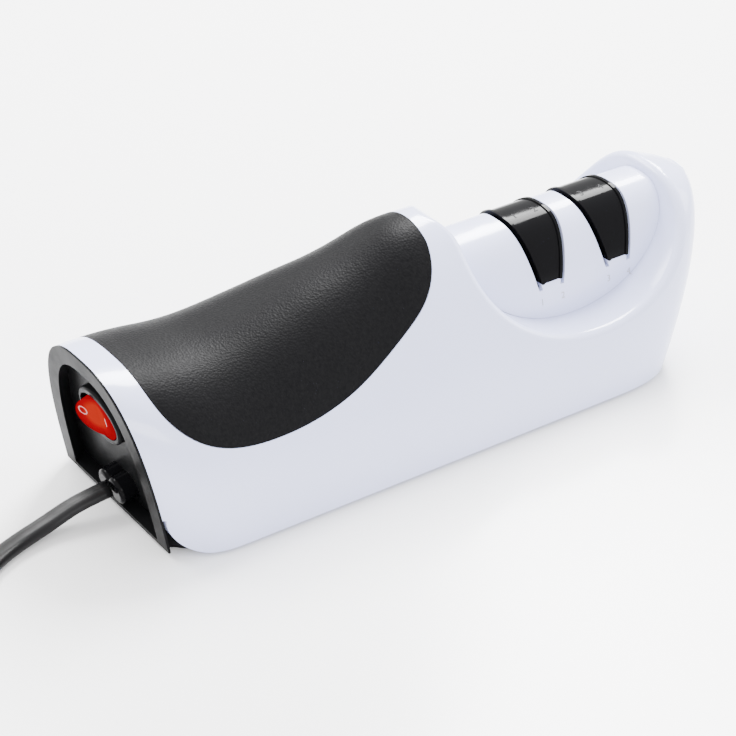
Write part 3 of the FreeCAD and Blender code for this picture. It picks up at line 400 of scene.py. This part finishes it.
def coil_points(per_turn=24):
    """Two layers of turns, spiralling in and out again."""
    middle, spots = COIL_TURNS / 2, []
    count = int(COIL_TURNS * per_turn)
    for step in range(1, count):
        turn = COIL_TURNS * step / count
        radius = COIL_RADIUS - COIL_PITCH * (middle - abs(turn - middle))
        angle = -math.pi / 2 - 2 * math.pi * turn
        spots.append(Vector((COIL_CENTRE.x + radius * math.cos(angle),
                             COIL_CENTRE.y + radius * math.sin(angle),
                             COIL_LEVEL + COIL_LAYER * eased((turn - middle + 0.25) * 2))))
    return spots


def smooth_line(points):
    """Points along the smooth curve that follows a route."""
    curve = bpy.data.curves.new("cord_route", "CURVE")
    curve.dimensions = "3D"
    curve.resolution_u = 6
    spline = curve.splines.new("NURBS")
    spline.points.add(len(points) - 1)
    for knot, spot in zip(spline.points, points):
        knot.co = (*spot, 1.0)
    spline.order_u = 3
    spline.use_endpoint_u = True
    draft = bpy.data.objects.new("cord_route", curve)
    bpy.context.scene.collection.objects.link(draft)
    bpy.context.view_layer.update()
    mesh = bpy.data.meshes.new_from_object(draft.evaluated_get(bpy.context.evaluated_depsgraph_get()))
    bpy.data.objects.remove(draft)
    return [vertex.co.copy() for vertex in mesh.vertices]


GROOVE_DEPTH = 0.22
GROOVE_HALF = 0.45
TURN_START = 68 * MM


def flat_section(steps_round=24):
    """Two round cores side by side with a shallow groove between them."""
    ring = []
    for step in range(steps_round):
        angle = 2 * math.pi * step / steps_round
        across = math.cos(angle)
        groove = 1 - GROOVE_DEPTH * (1 - min(1.0, abs(across) / GROOVE_HALF)) ** 2
        half = CORD_THICK / 2 * math.copysign(abs(math.sin(angle)) ** 0.75, math.sin(angle))
        ring.append((CORD_WIDE / 2 * across, half * groove))
    return ring


def swept(path, ring, rolls):
    """Closed skin of a section carried along a path, rolled by an angle at each point."""
    verts, faces, count = [], [], len(ring)
    for k, (spot, roll) in enumerate(zip(path, rolls)):
        ahead = (path[min(k + 1, len(path) - 1)] - path[max(k - 1, 0)]).normalized()
        level = Vector((ahead.y, -ahead.x, 0)).normalized()
        rise = level.cross(ahead) * -1
        wide = level * math.cos(roll) + rise * math.sin(roll)
        thick = rise * math.cos(roll) - level * math.sin(roll)
        verts += [spot + wide * across + thick * up for across, up in ring]
    for k in range(len(path) - 1):
        for j in range(count):
            n = (j + 1) % count
            faces.append((k * count + j, (k + 1) * count + j, (k + 1) * count + n, k * count + n))
    faces.append(tuple(range(count)))
    faces.append(tuple(reversed(range(len(verts) - count, len(verts)))))
    return verts, faces


def supply_cord():
    """Flat lead that lies on its wide side and turns on edge for the coil."""
    points = [Vector(p) * MM for p in LEAD_ROUTE] + coil_points()
    points += [Vector(p) * MM for p in TAIL_ROUTE]
    path = smooth_line(points)
    coil_start = len(path) * len(LEAD_ROUTE) // len(points)
    coil_stop = len(path) - len(path) * len(TAIL_ROUTE) // len(points)
    lengths, total = [0.0], 0.0
    for before, after in zip(path, path[1:]):
        total += (after - before).length
        lengths.append(total)
    turning = lengths[coil_start] - TURN_START
    back_start = lengths[coil_stop]
    rolls = [(eased((length - TURN_START) / turning)
              - eased((length - back_start) / (total - back_start))) * math.pi / 2
             for length in lengths]
    verts, faces = swept(path, flat_section(), rolls)
    cord = mesh_piece("supply_cord", verts, faces, VINYL, "housing")
    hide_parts("cord_lead", "cord_coil", "cord_tail")


supply_cord()


# Floor, light and camera

def floor():
    bpy.ops.mesh.primitive_plane_add(size=12)
    plane = bpy.context.object
    plane.name = "floor"
    material = surface("floor_white", (0.96, 0.96, 0.965), 0.2, Specular_IOR_Level=0.35)
    vary_roughness(material, noise(material, 0.2), 0.18, 0.22)
    plane.data.materials.append(material)


def soft_light(name, spot, target, size, power):
    light = bpy.data.lights.new(name, "AREA")
    light.shape = "RECTANGLE"
    light.size, light.size_y = size
    light.energy = power
    holder = bpy.data.objects.new(name, light)
    bpy.context.scene.collection.objects.link(holder)
    holder.location = spot
    holder.rotation_euler = (Vector(target) - Vector(spot)).to_track_quat("-Z", "Y").to_euler()


def studio():
    world = bpy.data.worlds.new("studio")
    bpy.context.scene.world = world
    world.use_nodes = True
    background = world.node_tree.nodes["Background"]
    background.inputs["Color"].default_value = (1.0, 1.0, 1.0, 1.0)
    background.inputs["Strength"].default_value = 2.4
    soft_light("overhead", (0.5, 0.40, 0.8), (0.08, 0, 0.06), (0.30, 0.62), 40)
    soft_light("back", (-0.25, 0.7, 0.75), (0, 0, 0.05), (0.9, 0.3), 16)
    soft_light("front", (-0.5, -1.4, 0.7), (0, 0, 0.03), (1.0, 0.5), 14)
    soft_light("side", (1.1, -0.2, 0.5), (0.1, 0, 0.05), (0.5, 0.7), 6)


def camera():
    lens = bpy.data.cameras.new("camera")
    lens.lens = CAMERA_LENS
    lens.sensor_width = 36
    holder = bpy.data.objects.new("camera", lens)
    bpy.context.scene.collection.objects.link(holder)
    holder.location = CAMERA_SPOT
    holder.rotation_euler = CAMERA_FORWARD.to_track_quat("-Z", "Y").to_euler()
    bpy.context.scene.camera = holder


floor()
studio()
camera()
